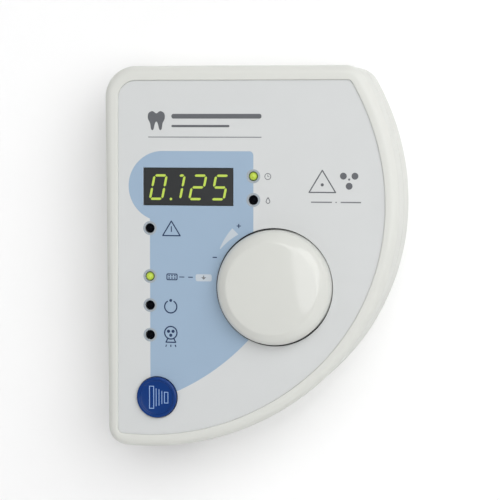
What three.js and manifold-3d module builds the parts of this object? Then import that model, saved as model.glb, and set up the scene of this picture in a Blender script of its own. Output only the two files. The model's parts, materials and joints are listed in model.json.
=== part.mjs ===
// Wall-mounted control unit of an intraoral X-ray set: a D-shaped box with a display, six
// indicator lamps, a push-and-turn knob, an exposure button and the electronics behind them.
// Millimetres. The wall face lies in the plane Y = 0, the front looks along -Y and +Z is up.

import * as THREE from 'three';
import { mergeVertices } from 'three/addons/utils/BufferGeometryUtils.js';
import Module from 'manifold-3d';

const wasm = await Module();
wasm.setup();

// ---------------------------------------------------------------- driving dimensions

const GAP = 0.3; // clearance between pieces that rest on each other
const WALL = 2.4; // wall thickness of both shells

// Outline of the case seen from the front: two straight edges and three tangent arcs.
const CASE = {
  left: -85.9,
  right: 85.3,
  top: 110.1,
  widestZ: 31.1, // height at which the curved side reaches furthest right
  upperRadius: 145,
  sideRadius: 136.5,
  sideSweep: THREE.MathUtils.degToRad(47.5),
  bottomRadius: 154.5,
  topLeftRadius: 18,
  topRightRadius: 15,
  bottomLeftRadius: 11,
  lean: 1.2, // the left edge stands this much further in at the bottom than at the top
};

// Depths along Y, from the wall to the front.
const REAR_INSIDE = -2.5;
const PARTING_REAR = -22.5;
const PARTING_FRONT = -23;
const LIP_FRONT = -26;
const POWER_BOARD = { front: -9.9, rear: -8.3 };
const CONTROL_BOARD = { front: -32, rear: -30.4 };
const FRONT_INSIDE = -46;
const RECESS_FLOOR = -48.2;
const OVERLAY_FACE = -49;
const RIM_CREST = -50;

const DRAFT = 0.55; // how far the case has narrowed at the parting line
const REAR_DRAFT = 0.75; // and at the wall
const RIM_ROUND = 5; // outer rounding of the front rim
const RIM_WIDTH = 7.4; // outer edge of the case to the recess wall
const OVERLAY_INSET = 7.8;
const RECESS_DROP = 0.6; // the recess sits this much low in the rim
const RECESS_RIGHT_RADIUS = 11; // its upper right corner
const RECESS_SHIFT = { top: 0.7, bottom: -0.2 }; // and its left edge this much further in
const LIP_INSET = 3.6;
const LIP_WIDTH = 1.6;
const BOARD_INSET = 10;

const DISPLAY = { x: -36.2, z: 41, width: 52.4, height: 21.2 };
const DISPLAY_CLEARANCE = 0.3;
const MODULE = { width: 50.4, height: 19.2, front: -46.3, rear: -38.3 };

const LED_RADIUS = 2.5;
const LED_TIP = -50.4;
const LEFT_LED_X = -58.9;
const RIGHT_LED_X = 1.9;
const LEDS = [
  { name: 'seconds', x: RIGHT_LED_X, z: 47.2, lit: true },
  { name: 'dose', x: RIGHT_LED_X, z: 33.7, lit: false },
  { name: 'fault', x: LEFT_LED_X, z: 17, lit: false },
  { name: 'mode', x: LEFT_LED_X, z: -10.7, lit: true },
  { name: 'ready', x: LEFT_LED_X, z: -27.5, lit: false },
  { name: 'exposure', x: LEFT_LED_X, z: -44.7, lit: false },
];

const KNOB = { x: 14.7, z: -15.8, radius: 33, shoulder: 6.3, top: -61.8, crown: 0.9, skirt: -42.6 };
const WELL = { radius: 33.7, floor: -41 };
const SHAFT_RADIUS = 3;
const BUSH_RADIUS = 4.5;

const BUTTON = { x: -54.9, z: -80.9, radius: 11.8, face: -51.2, dish: 0.7, flange: 13.2 };

const CASE_POSTS = [[-73.5, 98], [50, 100], [46, -50.7], [-73.6, -98.4]];
const BOARD_POSTS = [[-68, 84], [40, 84], [58, -20], [-33, -92]];
const POWER_POSTS = [[-61, 81], [35, 81], [35, -19], [-61, -19]];
const POWER_BOARD_EDGES = { left: -66, right: 40, bottom: -24, top: 86 };

const KEYHOLES = [[-45, 95], [25, 95]];
const KEYHOLE = { radius: 4.2, slotHalf: 2.3, slotTop: 7 };
const LOWER_FIXING = { x: -20, z: -92, radius: 2.6 };
const CABLE_ENTRY = { x: -5, z: -62, radius: 10, bore: 6, flange: 12.4, seat: 1.1 };

const SWITCH = { x: -57.5, y: -11.5, halfX: 9.5, halfY: 6.5, top: -90, face: -112, pivotZ: -106.8 };
const ROCKER_TILT = THREE.MathUtils.degToRad(8);

// ---------------------------------------------------------------- finishes

function finish(color, roughness, metalness = 0) {
  return new THREE.MeshStandardMaterial({ color, roughness, metalness });
}

const FINISH = {
  housing: finish(0xdddcd6, 0.45),
  overlay: finish(0xd6d7d6, 0.35),
  smoked: finish(0x45433f, 0.15),
  blackPlastic: finish(0x1c1c1e, 0.5),
  lampLit: finish(0xc8f050, 0.25),
  lampDark: finish(0x26221f, 0.25),
  nylon: finish(0xe8e6dc, 0.6),
  board: finish(0x1f6b43, 0.5),
  knob: finish(0xdcdcd6, 0.3),
  button: finish(0x1f3f8f, 0.35),
  brass: finish(0xb89b55, 0.35, 0.9),
  steel: finish(0xb4b6b8, 0.35, 1),
  core: finish(0x6b6a68, 0.6, 0.6),
  copper: finish(0xb56a3c, 0.45, 0.6),
  relay: finish(0x2f6fb0, 0.45),
  can: finish(0x25304a, 0.4),
  terminal: finish(0x3c8f5a, 0.5),
  rubber: finish(0x1b1b1b, 0.85),
  ribbon: finish(0xb9bcc0, 0.6),
  glass: finish(0xd8e2e2, 0.1),
  brownLead: finish(0x6b3f22, 0.55),
  blueLead: finish(0x2d56a5, 0.55),
};

// ---------------------------------------------------------------- solids

// Turns a closed geometry into a solid, with its faces pointing out.
function toSolid(geometry) {
  const bare = geometry.clone();
  bare.deleteAttribute('normal');
  bare.deleteAttribute('uv');
  const merged = mergeVertices(bare, 1e-4);
  const position = merged.getAttribute('position');
  const source = merged.getIndex();
  const corner = [new THREE.Vector3(), new THREE.Vector3(), new THREE.Vector3()];
  const triangles = [];
  let volume = 0;
  for (let i = 0; i < source.count; i += 3) {
    const ids = [0, 1, 2].map((k) => source.getX(i + k));
    if (new Set(ids).size < 3) continue;
    triangles.push(ids);
    ids.forEach((id, k) => corner[k].fromBufferAttribute(position, id));
    volume += corner[0].dot(corner[1].cross(corner[2]));
  }
  if (volume < 0) triangles.forEach((ids) => ids.reverse());
  return new wasm.Manifold(new wasm.Mesh({
    numProp: 3,
    vertProperties: Float32Array.from(position.array),
    triVerts: Uint32Array.from(triangles.flat()),
  }));
}

function box(x0, x1, y0, y1, z0, z1) {
  const geometry = new THREE.BoxGeometry(x1 - x0, y1 - y0, z1 - z0);
  return toSolid(geometry.translate((x0 + x1) / 2, (y0 + y1) / 2, (z0 + z1) / 2));
}

// A cylinder along Y from y0 to y1.
function rod(radius, y0, y1, x, z, sides = 24) {
  const geometry = new THREE.CylinderGeometry(radius, radius, y1 - y0, sides);
  return toSolid(geometry.translate(x, (y0 + y1) / 2, z));
}

// A cylinder along X from x0 to x1.
function rodAlongX(radius, x0, x1, y, z, sides = 16) {
  const geometry = new THREE.CylinderGeometry(radius, radius, x1 - x0, sides);
  return toSolid(geometry.rotateZ(Math.PI / 2).translate((x0 + x1) / 2, y, z));
}

// A cylinder along Z from z0 to z1.
function rodAlongZ(radius, z0, z1, x, y, sides = 12) {
  const geometry = new THREE.CylinderGeometry(radius, radius, z1 - z0, sides);
  return toSolid(geometry.rotateX(Math.PI / 2).translate(x, y, (z0 + z1) / 2));
}

// Turns a profile of [radius, y] points about an axis along Y.
function turned(profile, x, z, sides) {
  const points = profile.map(([radius, y]) => new THREE.Vector2(radius, y));
  return toSolid(new THREE.LatheGeometry(points, sides).translate(x, 0, z));
}

// Points of an arc from one angle to another, as [x, y] pairs.
function arc(cx, cy, radius, from, to, steps) {
  return Array.from({ length: steps + 1 }, (_, i) => {
    const angle = from + ((to - from) * i) / steps;
    return [cx + radius * Math.cos(angle), cy + radius * Math.sin(angle)];
  });
}

// Case outline moved inwards by inset, anticlockwise seen from the front, as points in X and Z.
// The recess and what lies in it follow the same outline, a little lower and with its own lean.
function caseOutline(inset, inRecess = false) {
  const { left, right, top, widestZ, sideSweep: sweep } = CASE;
  const { upperRadius: upperR, sideRadius: sideR, bottomRadius: bottomR } = CASE;
  const { topLeftRadius: leftR, bottomLeftRadius: lowR } = CASE;
  const rightR = inRecess ? RECESS_RIGHT_RADIUS : CASE.topRightRadius;
  const upperX = right - upperR;
  const sideX = right - sideR;
  const bottomX = sideX + (sideR - bottomR) * Math.cos(sweep);
  const bottomZ = widestZ - (sideR - bottomR) * Math.sin(sweep);
  const rightZ = top - rightR;
  const rightX = upperX + Math.sqrt((upperR - rightR) ** 2 - (rightZ - widestZ) ** 2);
  const shift = inRecess ? RECESS_SHIFT : { top: 0, bottom: CASE.lean };
  const lowX = left + lowR + shift.bottom;
  const drop = inRecess ? RECESS_DROP : 0;
  const lowZ = bottomZ - Math.sqrt((bottomR - lowR) ** 2 - (lowX - bottomX) ** 2);
  const upperAngle = Math.atan2(rightZ - widestZ, rightX - upperX);
  const lowAngle = Math.atan2(lowZ - bottomZ, lowX - bottomX);
  const points = [
    ...arc(left + leftR + shift.top, top - leftR, leftR - inset, Math.PI, Math.PI / 2, 6),
    ...arc(rightX, rightZ, rightR - inset, Math.PI / 2, upperAngle, 4).slice(0, -1),
    ...arc(upperX, widestZ, upperR - inset, upperAngle, 0, 8).slice(0, -1),
    ...arc(sideX, widestZ, sideR - inset, 0, -sweep, 9).slice(0, -1),
    ...arc(bottomX, bottomZ, bottomR - inset, -sweep, lowAngle, 10).slice(0, -1),
    ...arc(lowX, lowZ, lowR - inset, lowAngle, -Math.PI, 5),
  ];
  return points.reverse().map(([x, z]) => new THREE.Vector2(x, z - drop));
}

// A solid through a row of [inset, y, inRecess] rings of the case outline, closed at both ends.
function loft(rings) {
  const outlines = rings.map(([inset, , inRecess]) => caseOutline(inset, inRecess));
  const count = outlines[0].length;
  const position = outlines.flatMap((points, k) => points.flatMap((p) => [p.x, rings[k][1], p.y]));
  const index = [];
  for (let k = 0; k < rings.length - 1; k++) {
    for (let i = 0; i < count; i++) {
      const next = (i + 1) % count;
      const [a, b, c, d] = [k * count + i, k * count + next, (k + 1) * count + i, (k + 1) * count + next];
      index.push(a, b, c, b, d, c);
    }
  }
  const last = (rings.length - 1) * count;
  THREE.ShapeUtils.triangulateShape(outlines[0], []).forEach(([a, b, c]) => index.push(a, c, b));
  THREE.ShapeUtils.triangulateShape(outlines.at(-1), [])
    .forEach(([a, b, c]) => index.push(last + a, last + b, last + c));
  const geometry = new THREE.BufferGeometry();
  geometry.setAttribute('position', new THREE.Float32BufferAttribute(position, 3));
  geometry.setIndex(index);
  return toSolid(geometry);
}

// A flat strip that follows points in the Y-Z plane, between two X values.
function strip(points, thickness, x0, x1) {
  const curve = new THREE.CatmullRomCurve3(points.map(([y, z]) => new THREE.Vector3(y, z, 0)));
  const steps = 20;
  const sides = [-thickness / 2, thickness / 2].map((offset) =>
    Array.from({ length: steps + 1 }, (_, i) => {
      const point = curve.getPoint(i / steps);
      const along = curve.getTangent(i / steps);
      return new THREE.Vector2(point.x - along.y * offset, point.y + along.x * offset);
    }));
  const shape = new THREE.Shape([...sides[0], ...sides[1].reverse()]);
  const geometry = new THREE.ExtrudeGeometry(shape, { depth: x1 - x0, bevelEnabled: false });
  // local X, Y, Z become Y, Z, X
  const turn = new THREE.Matrix4().set(0, 0, 1, 0, 1, 0, 0, 0, 0, 1, 0, 0, 0, 0, 0, 1);
  return toSolid(geometry.applyMatrix4(turn).translate(x0, 0, 0));
}

// A round lead through points in space.
function lead(points, radius) {
  const path = new THREE.CatmullRomCurve3(points.map((p) => new THREE.Vector3(...p)));
  const section = new THREE.Shape(arc(0, 0, radius, 0, 2 * Math.PI, 8).slice(0, -1)
    .map(([x, y]) => new THREE.Vector2(x, y)));
  return toSolid(new THREE.ExtrudeGeometry(section, { extrudePath: path, steps: 14 }));
}

// ---------------------------------------------------------------- scene graph

const unit = new THREE.Group();

function add(name, solid, material) {
  const { vertProperties, triVerts } = solid.getMesh();
  const geometry = new THREE.BufferGeometry();
  geometry.setAttribute('position', new THREE.BufferAttribute(vertProperties, 3));
  geometry.setIndex(new THREE.BufferAttribute(triVerts, 1));
  geometry.computeVertexNormals();
  const mesh = new THREE.Mesh(geometry, material);
  mesh.name = name;
  unit.add(mesh);
}

// ---------------------------------------------------------------- case

function displayOpening(clearance, y0, y1) {
  const { x, z, width, height } = DISPLAY;
  const halfX = width / 2 + clearance;
  const halfZ = height / 2 + clearance;
  return box(x - halfX, x + halfX, y0, y1, z - halfZ, z + halfZ);
}

function frontHousing() {
  const rim = arc(RIM_ROUND, RIM_CREST + RIM_ROUND, RIM_ROUND, -Math.PI / 2, -Math.PI, 5);
  let shell = loft([
    [RIM_WIDTH, RECESS_FLOOR, true],
    [RIM_WIDTH, RIM_CREST + 0.6, true],
    [RIM_WIDTH - 0.6, RIM_CREST, true],
    ...rim,
    [DRAFT, PARTING_FRONT],
    [DRAFT + WALL, PARTING_FRONT],
    [WALL, FRONT_INSIDE + 1],
    [WALL + 1, FRONT_INSIDE],
  ]);
  const postFront = FRONT_INSIDE - 1;
  for (const [x, z] of CASE_POSTS) shell = shell.add(rod(3.8, postFront, PARTING_FRONT, x, z, 12));
  for (const [x, z] of BOARD_POSTS) {
    shell = shell.add(rod(3.4, postFront, CONTROL_BOARD.front - GAP, x, z, 12));
  }
  shell = shell.add(rod(WELL.radius + WALL, postFront, WELL.floor + WALL, KNOB.x, KNOB.z, 36));
  shell = shell.add(rod(BUTTON.flange + 2, postFront, -42.6, BUTTON.x, BUTTON.z, 24));

  const beyond = RIM_CREST - 5;
  for (const [x, z] of CASE_POSTS) shell = shell.subtract(rod(1.75, -40, 0, x, z, 8));
  for (const [x, z] of BOARD_POSTS) shell = shell.subtract(rod(1.5, -42, 0, x, z, 8));
  for (const { x, z } of LEDS) shell = shell.subtract(rod(LED_RADIUS + 0.3, beyond, -40, x, z, 12));
  shell = shell.subtract(rod(WELL.radius, beyond, WELL.floor, KNOB.x, KNOB.z, 36));
  shell = shell.subtract(rod(BUSH_RADIUS + GAP, beyond, -30, KNOB.x, KNOB.z, 16));
  shell = shell.subtract(rod(BUTTON.radius + 0.4, beyond, -40, BUTTON.x, BUTTON.z, 24));
  shell = shell.subtract(rod(BUTTON.flange + GAP, FRONT_INSIDE, -40, BUTTON.x, BUTTON.z, 24));
  return shell.subtract(displayOpening(DISPLAY_CLEARANCE, beyond, -40));
}

function keyhole([x, z]) {
  const { radius, slotHalf, slotTop } = KEYHOLE;
  const slot = box(x - slotHalf, x + slotHalf, -5, 5, z, z + slotTop);
  return rod(radius, -5, 5, x, z, 16).add(slot).add(rod(slotHalf, -5, 5, x, z + slotTop, 12));
}

function rearHousing() {
  const backEdge = 1.2; // chamfer round the wall face
  let shell = loft([
    [REAR_DRAFT + backEdge, 0],
    [REAR_DRAFT, -backEdge],
    [DRAFT, PARTING_REAR],
    [LIP_INSET, PARTING_REAR],
    [LIP_INSET, LIP_FRONT],
    [LIP_INSET + LIP_WIDTH, LIP_FRONT],
    [LIP_INSET + LIP_WIDTH, PARTING_REAR + 1],
    [DRAFT + WALL, PARTING_REAR + 3],
    [REAR_DRAFT + WALL, REAR_INSIDE],
  ]);
  const postRear = REAR_INSIDE + 1;
  for (const [x, z] of CASE_POSTS) shell = shell.add(rod(5, PARTING_REAR + 0.2, postRear, x, z, 12));
  for (const [x, z] of POWER_POSTS) {
    shell = shell.add(rod(3.4, POWER_BOARD.rear + GAP, postRear, x, z, 12));
  }
  for (const [x, z] of CASE_POSTS) {
    shell = shell.subtract(rod(3.3, -12, 5, x, z, 12)).subtract(rod(1.75, -30, 0, x, z, 8));
  }
  for (const [x, z] of POWER_POSTS) shell = shell.subtract(rod(1.4, -20, -1.2, x, z, 8));
  for (const place of KEYHOLES) shell = shell.subtract(keyhole(place));
  shell = shell.subtract(rod(LOWER_FIXING.radius, -5, 5, LOWER_FIXING.x, LOWER_FIXING.z, 16));

  const { x, z, radius, flange, seat } = CABLE_ENTRY;
  shell = shell.subtract(rod(radius, -5, 5, x, z, 20)).subtract(rod(flange + GAP, -seat, 5, x, z, 20));

  const halfX = SWITCH.halfX + 0.4;
  const halfY = SWITCH.halfY + 0.4;
  return shell.subtract(box(SWITCH.x - halfX, SWITCH.x + halfX, SWITCH.y - halfY, SWITCH.y + halfY,
    -120, -100));
}

function frontOverlay() {
  let film = loft([[OVERLAY_INSET, OVERLAY_FACE, true], [OVERLAY_INSET, RECESS_FLOOR - 0.2, true]]);
  for (const { x, z } of LEDS) film = film.subtract(rod(LED_RADIUS + 0.3, -60, -40, x, z, 12));
  film = film.subtract(rod(WELL.radius, -60, -40, KNOB.x, KNOB.z, 36));
  film = film.subtract(rod(BUTTON.radius + 0.4, -60, -40, BUTTON.x, BUTTON.z, 24));
  return film.subtract(displayOpening(DISPLAY_CLEARANCE, -60, -40));
}

add('front_housing', frontHousing(), FINISH.housing);
add('rear_housing', rearHousing(), FINISH.housing);
add('front_overlay', frontOverlay(), FINISH.overlay);

// ---------------------------------------------------------------- display and lamps

add('display_window', displayOpening(0, OVERLAY_FACE + 0.2, MODULE.front - GAP), FINISH.smoked);

function displayModule() {
  const halfX = MODULE.width / 2;
  const halfZ = MODULE.height / 2;
  const { x, z } = DISPLAY;
  return box(x - halfX, x + halfX, MODULE.front, MODULE.rear, z - halfZ, z + halfZ);
}

add('display_module', displayModule(), FINISH.blackPlastic);
add('display_socket', box(DISPLAY.x - 23, DISPLAY.x + 23, CONTROL_BOARD.front - 6, CONTROL_BOARD.front - GAP,
  DISPLAY.z - 7.5, DISPLAY.z + 7.5), FINISH.blackPlastic);

const LED_BASE = -41.2;

function lamp({ x, z }) {
  const domeCentre = LED_TIP + LED_RADIUS;
  const dome = arc(0, domeCentre, LED_RADIUS, -Math.PI / 2, 0, 3).map(([r, y]) => [Math.max(r, 0), y]);
  return turned([[0, LED_TIP], ...dome.slice(1), [LED_RADIUS, LED_BASE - 1], [2.9, LED_BASE - 1],
    [2.9, LED_BASE], [0, LED_BASE]], x, z, 12);
}

function lampSpacer({ x, z }) {
  const tube = rod(2.6, LED_BASE + GAP, CONTROL_BOARD.front - GAP, x, z, 10);
  return tube.subtract(rod(1.5, -60, 0, x, z, 8));
}

for (const led of LEDS) {
  add(`led_${led.name}`, lamp(led), led.lit ? FINISH.lampLit : FINISH.lampDark);
  add(`led_spacer_${led.name}`, lampSpacer(led), FINISH.nylon);
}

// ---------------------------------------------------------------- control board

function controlBoard() {
  const { front, rear } = CONTROL_BOARD;
  let board = loft([[BOARD_INSET, front], [BOARD_INSET, rear]]);
  for (const [x, z] of CASE_POSTS) board = board.subtract(rod(5.2, -60, 0, x, z, 12));
  for (const [x, z] of BOARD_POSTS) board = board.subtract(rod(1.8, -60, 0, x, z, 8));
  return board;
}

add('control_board', controlBoard(), FINISH.board);
add('microcontroller', box(-24, -10, -30.1, -28.2, -68, -54), FINISH.blackPlastic);
add('piezo_buzzer', rod(6.5, -39, CONTROL_BOARD.front - GAP, 38, 58, 20)
  .subtract(rod(1.2, -45, -37, 38, 58, 8)), FINISH.blackPlastic);

const HEADER_X = [6, 28];
add('control_board_header', box(...HEADER_X, -30.1, -26.5, -44, -37), FINISH.blackPlastic);
add('power_board_header', box(...HEADER_X, -14.2, POWER_BOARD.front - GAP, -4, 3), FINISH.blackPlastic);
add('ribbon_cable', strip([[-14.5, -0.5], [-18, -1], [-20.5, -6], [-20.5, -20], [-20.5, -35], [-22.5, -40],
  [-26.2, -40.5]], 1, 7.5, 26.5), FINISH.ribbon);

// ---------------------------------------------------------------- knob and encoder

function encoderBody() {
  const half = 7;
  const { x, z } = KNOB;
  const floorRear = WELL.floor + WALL;
  const body = box(x - half, x + half, floorRear + GAP, CONTROL_BOARD.front - GAP, z - half, z + half);
  return body.add(rod(BUSH_RADIUS, -46, floorRear + 1, x, z, 24))
    .subtract(rod(SHAFT_RADIUS + 0.25, -60, 0, x, z, 20));
}

function encoderNut() {
  const nut = rod(7.5, -43.4, WELL.floor - GAP, KNOB.x, KNOB.z, 6);
  return nut.subtract(rod(BUSH_RADIUS + GAP, -60, 0, KNOB.x, KNOB.z, 24));
}

const SHAFT_FRONT = -56.5;
const FLAT_DEPTH = 1.5; // flat of the D-shaped shaft end

function dSection(radius, flat, y0, y1) {
  const { x, z } = KNOB;
  return rod(radius, y0, y1, x, z, 20).subtract(box(x - 5, x + 5, y0 - 1, y1 + 1, z + flat, z + 10));
}

function encoderShaft() {
  return dSection(SHAFT_RADIUS, SHAFT_RADIUS - FLAT_DEPTH, SHAFT_FRONT, -47)
    .add(rod(SHAFT_RADIUS, -47, -34.6, KNOB.x, KNOB.z, 20));
}

const HUB = { radius: 7.5, rear: -47.2 };
const INSERT = { radius: 5, front: -57, rear: -47.4 };

function knobInsert() {
  const sleeve = rod(INSERT.radius, INSERT.front, INSERT.rear, KNOB.x, KNOB.z, 20);
  return sleeve.subtract(dSection(SHAFT_RADIUS + 0.2, SHAFT_RADIUS - FLAT_DEPTH + 0.2, -60, -40));
}

function controlKnob() {
  const { radius, shoulder, top, crown, skirt } = KNOB;
  const inside = radius - 2.6;
  const roof = top + 2.8;
  const shoulderArc = arc(radius - shoulder, top + shoulder, shoulder, -Math.PI / 2, 0, 5);
  return turned([
    [0, top - crown],
    [radius * 0.3, top - crown * 0.85],
    [radius * 0.57, top - crown * 0.45],
    ...shoulderArc,
    [radius, skirt],
    [inside, skirt],
    [inside, roof + 4],
    [inside - 4, roof],
    [HUB.radius, roof],
    [HUB.radius, HUB.rear],
    [INSERT.radius + 0.2, HUB.rear],
    [INSERT.radius + 0.2, INSERT.front - GAP],
    [0, INSERT.front - GAP],
  ], KNOB.x, KNOB.z, 36);
}

add('encoder_body', encoderBody(), FINISH.blackPlastic);
add('encoder_nut', encoderNut(), FINISH.steel);
add('encoder_plunger', rod(2.6, -34.3, -33.3, KNOB.x, KNOB.z, 16), FINISH.nylon);
add('encoder_shaft', encoderShaft(), FINISH.steel);
add('knob_insert', knobInsert(), FINISH.brass);
add('control_knob', controlKnob(), FINISH.knob);

// ---------------------------------------------------------------- exposure button

function exposureButton() {
  const { radius, face, dish, flange } = BUTTON;
  const flangeFront = FRONT_INSIDE + GAP;
  const flangeRear = flangeFront + 1.5;
  const edge = 0.9;
  return turned([
    [0, face + dish],
    [radius * 0.5, face + dish * 0.72],
    [radius - 2.2, face + dish * 0.1],
    [radius - edge, face],
    [radius - edge * 0.3, face + edge * 0.3],
    [radius, face + edge],
    [radius, flangeFront],
    [flange, flangeFront],
    [flange, flangeRear],
    [radius - 1.6, flangeRear],
    [radius - 1.6, face + 3],
    [2.6, face + 3],
    [2.6, -39.9],
    [0, -39.9],
  ], BUTTON.x, BUTTON.z, 24);
}

function buttonRetainer() {
  const ring = rod(15, -42.3, -40.9, BUTTON.x, BUTTON.z, 24);
  return ring.subtract(rod(4, -60, 0, BUTTON.x, BUTTON.z, 16));
}

function exposureSwitchBody() {
  const half = 6;
  const { x, z } = BUTTON;
  const body = box(x - half, x + half, -36, CONTROL_BOARD.front - GAP, z - half, z + half);
  return body.subtract(rod(3.7, -40, -33.4, x, z, 16));
}

add('exposure_button', exposureButton(), FINISH.button);
add('button_retainer', buttonRetainer(), FINISH.nylon);
add('exposure_switch_body', exposureSwitchBody(), FINISH.blackPlastic);
add('exposure_switch_plunger', rod(3.4, -39.6, -35, BUTTON.x, BUTTON.z, 16), FINISH.nylon);

// ---------------------------------------------------------------- power board

const SEAT = POWER_BOARD.front - GAP; // plane that the power parts stand on

function powerBoard() {
  const { left, right, bottom, top } = POWER_BOARD_EDGES;
  let board = box(left, right, POWER_BOARD.front, POWER_BOARD.rear, bottom, top);
  for (const [x, z] of POWER_POSTS) board = board.subtract(rod(1.7, -20, 0, x, z, 8));
  return board;
}

const CORE = { left: -56, right: -14, bottom: 30, top: 64, front: -24.6, rear: -13.2 };
const CORE_LEG = 7; // half width of the middle leg, and width of the yokes
const COIL_DEPTH = 2.6; // winding thickness in front of and behind the core

function transformerCore() {
  const middle = (CORE.left + CORE.right) / 2;
  const outer = CORE_LEG;
  let core = box(CORE.left, CORE.right, CORE.front, CORE.rear, CORE.bottom, CORE.top);
  for (const [x0, x1] of [[CORE.left + outer, middle - CORE_LEG], [middle + CORE_LEG, CORE.right - outer]]) {
    core = core.subtract(box(x0, x1, -40, 0, CORE.bottom + outer, CORE.top - outer));
  }
  return core;
}

function transformerCoil() {
  const middle = (CORE.left + CORE.right) / 2;
  const half = (CORE.right - CORE.left) / 2 - CORE_LEG - 0.5;
  const z0 = CORE.bottom + CORE_LEG + 0.4;
  const z1 = CORE.top - CORE_LEG - 0.4;
  const legHalf = CORE_LEG + GAP;
  const leg = box(middle - legHalf, middle + legHalf, CORE.front - GAP, CORE.rear + GAP, 0, 99);
  const [front, rear] = [CORE.front - COIL_DEPTH, CORE.rear + COIL_DEPTH];
  const winding = box(middle - half, middle + half, front, rear, z0, z1);
  return winding.subtract(leg);
}

const FUSE = { x0: -8, x1: 12, y: -15.4, z: 19, radius: 2.6 };

function fuseHolder() {
  const { x0, x1, y, z, radius } = FUSE;
  const base = box(x0 - 1, x1 + 1, SEAT - 2, SEAT, z - 5, z + 5);
  const ends = [[x0 - 1, x0 + 4], [x1 - 4, x1 + 1]].map(([a, b]) => box(a, b, y, SEAT - 1, z - 4, z + 4));
  return base.add(ends[0]).add(ends[1]).subtract(rodAlongX(radius + GAP, x0 - 5, x1 + 5, y, z));
}

function terminalBlock() {
  const pitch = 8;
  let block = box(-52, -12, -21, SEAT, -16, -4);
  for (let i = 0; i < 5; i++) {
    const x = -48 + i * pitch;
    block = block.subtract(rodAlongZ(1.9, -20, -9, x, -14, 8)).subtract(rod(2, -25, -17.5, x, -8, 8));
  }
  return block;
}

function capacitor() {
  return turned([
    [0, -27], [7.4, -27], [8, -26.3],
    [8, SEAT - 1.2], [7.5, SEAT - 0.9], [8, SEAT - 0.6],
    [8, SEAT], [0, SEAT],
  ], 24, 58, 16);
}

add('power_board', powerBoard(), FINISH.board);
add('transformer_core', transformerCore(), FINISH.core);
add('transformer_coil', transformerCoil(), FINISH.copper);
add('relay', box(-8, 11, -25.5, SEAT, 36, 52), FINISH.relay);
add('smoothing_capacitor', capacitor(), FINISH.can);
add('fuse_holder', fuseHolder(), FINISH.blackPlastic);
add('fuse', rodAlongX(FUSE.radius, FUSE.x0, FUSE.x1, FUSE.y, FUSE.z), FINISH.glass);
add('terminal_block', terminalBlock(), FINISH.terminal);

// ---------------------------------------------------------------- mains switch and cable entry

function switchBody() {
  const { x, y, halfX, halfY, top, face } = SWITCH;
  const bezel = 1.5;
  const wall = 1;
  const body = box(x - halfX, x + halfX, y - halfY, y + halfY, face + 1, top);
  const flange = box(x - halfX - bezel, x + halfX + bezel, y - halfY - 1, y + halfY + 1, face, face + 1.2);
  const cavity = box(x - halfX + wall, x + halfX - wall, y - halfY + wall, y + halfY - wall,
    face - 5, SWITCH.pivotZ + 3.5);
  return body.add(flange).subtract(cavity);
}

// A rocker with two faces that meet in the middle, drawn about its pivot and tipped to one side.
function rocker() {
  const half = 7.6;
  const outline = [[-half, -5.4], [0, -4], [half, -5.4], [half, -3.4], [3, 2], [-3, 2], [-half, -3.4]];
  const shape = new THREE.Shape(outline.map(([x, z]) => new THREE.Vector2(x, z)));
  const halfY = SWITCH.halfY - 1 - GAP;
  const geometry = new THREE.ExtrudeGeometry(shape, { depth: 2 * halfY, bevelEnabled: false });
  geometry.translate(0, 0, -halfY).rotateX(Math.PI / 2).rotateY(ROCKER_TILT);
  return toSolid(geometry.translate(SWITCH.x, SWITCH.y, SWITCH.pivotZ));
}

function cableGrommet() {
  const { x, z, radius, bore, flange, seat } = CABLE_ENTRY;
  const neck = radius - GAP;
  const profile = [[bore, -0.2], [flange, -0.2], [flange, -seat + GAP], [neck, -seat + GAP],
    [neck, REAR_INSIDE - GAP], [flange, REAR_INSIDE - GAP], [flange - 1, -4.6], [bore, -4.6]];
  return turned([...profile, profile[0]], x, z, 20);
}

add('mains_switch_body', switchBody(), FINISH.blackPlastic);
add('mains_rocker', rocker(), FINISH.blackPlastic);
add('cable_grommet', cableGrommet(), FINISH.rubber);
add('switch_lead_live', lead([[-64, -11.5, -89.6], [-64, -12, -70], [-58, -13.5, -45], [-48, -14, -28],
  [-48, -14, -16.3]], 1.2), FINISH.brownLead);
add('switch_lead_neutral', lead([[-56, -11.5, -89.6], [-56, -12, -70], [-48, -13.5, -45], [-40, -14, -28],
  [-40, -14, -16.3]], 1.2), FINISH.blueLead);

// ---------------------------------------------------------------- screws

// A pan-head screw whose head bears on a face at y = seat; its shank runs to y = tip.
function screw(headRadius, headHeight, shankRadius, seat, tip, x, z) {
  return turned([[0, tip], [shankRadius, tip], [shankRadius, seat], [headRadius, seat],
    [headRadius, seat + headHeight * 0.6], [headRadius * 0.7, seat + headHeight],
    [0, seat + headHeight]], x, z, 10);
}

CASE_POSTS.forEach(([x, z], i) => {
  add(`case_screw_${i + 1}`, screw(2.9, 2.2, 1.45, -11.8, -38, x, z), FINISH.steel);
});
BOARD_POSTS.forEach(([x, z], i) => {
  add(`board_screw_${i + 1}`, screw(2.7, 1.9, 1.2, CONTROL_BOARD.rear + 0.2, -40, x, z), FINISH.steel);
});
POWER_POSTS.forEach(([x, z], i) => {
  const seat = POWER_BOARD.front - 0.2;
  const flipped = screw(2.7, 1.9, 1.1, -seat, 2, x, z);
  add(`power_board_screw_${i + 1}`, flipped.mirror([0, 1, 0]), FINISH.steel);
});

export default unit;
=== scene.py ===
"""Looks of a wall-mounted control unit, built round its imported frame.

Lengths are in millimetres until a mesh is made, in the frame's own axes: the wall face is Y = 0,
the front looks along -Y and +Z is up. Flat shapes are lists of (x, z) points seen from the front.
"""

import json
import math

import bpy
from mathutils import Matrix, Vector
from mathutils.geometry import delaunay_2d_cdt


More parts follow.
